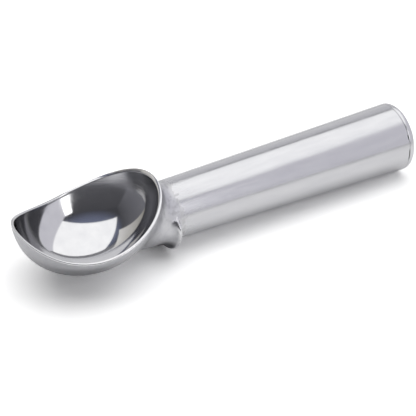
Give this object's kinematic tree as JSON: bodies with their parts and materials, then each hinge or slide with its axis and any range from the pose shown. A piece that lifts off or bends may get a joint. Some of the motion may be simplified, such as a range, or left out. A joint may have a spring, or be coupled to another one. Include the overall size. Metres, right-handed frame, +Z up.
{
  "type": "ice cream scoop",
  "caption": "Cast aluminium ice cream scoop with an egg-shaped polished bowl, a crescent lug under the neck and a tapered round hollow handle closed by an end cap.",
  "frame": {"origin": "middle of the scoop's own bounding box, on the table that it rests on", "axes": "+X runs from the bowl's tip to the end cap, +Y across the bowl, +Z up, with the open bowl facing up"},
  "size_m": [0.181, 0.0494, 0.0352],
  "materials": {
    "cast_aluminium": "satin with fine lengthwise polishing lines on the handle, light cast grain at the neck, bright rim, and a mirror-polished hollow of the bowl",
    "turned_aluminium": "turned and lightly polished, with a fine ring-shaped grain"
  },
  "bodies": {
    "root": {"scoop_casting": "cast_aluminium", "end_cap": "turned_aluminium"}
  },
  "joints": []
}
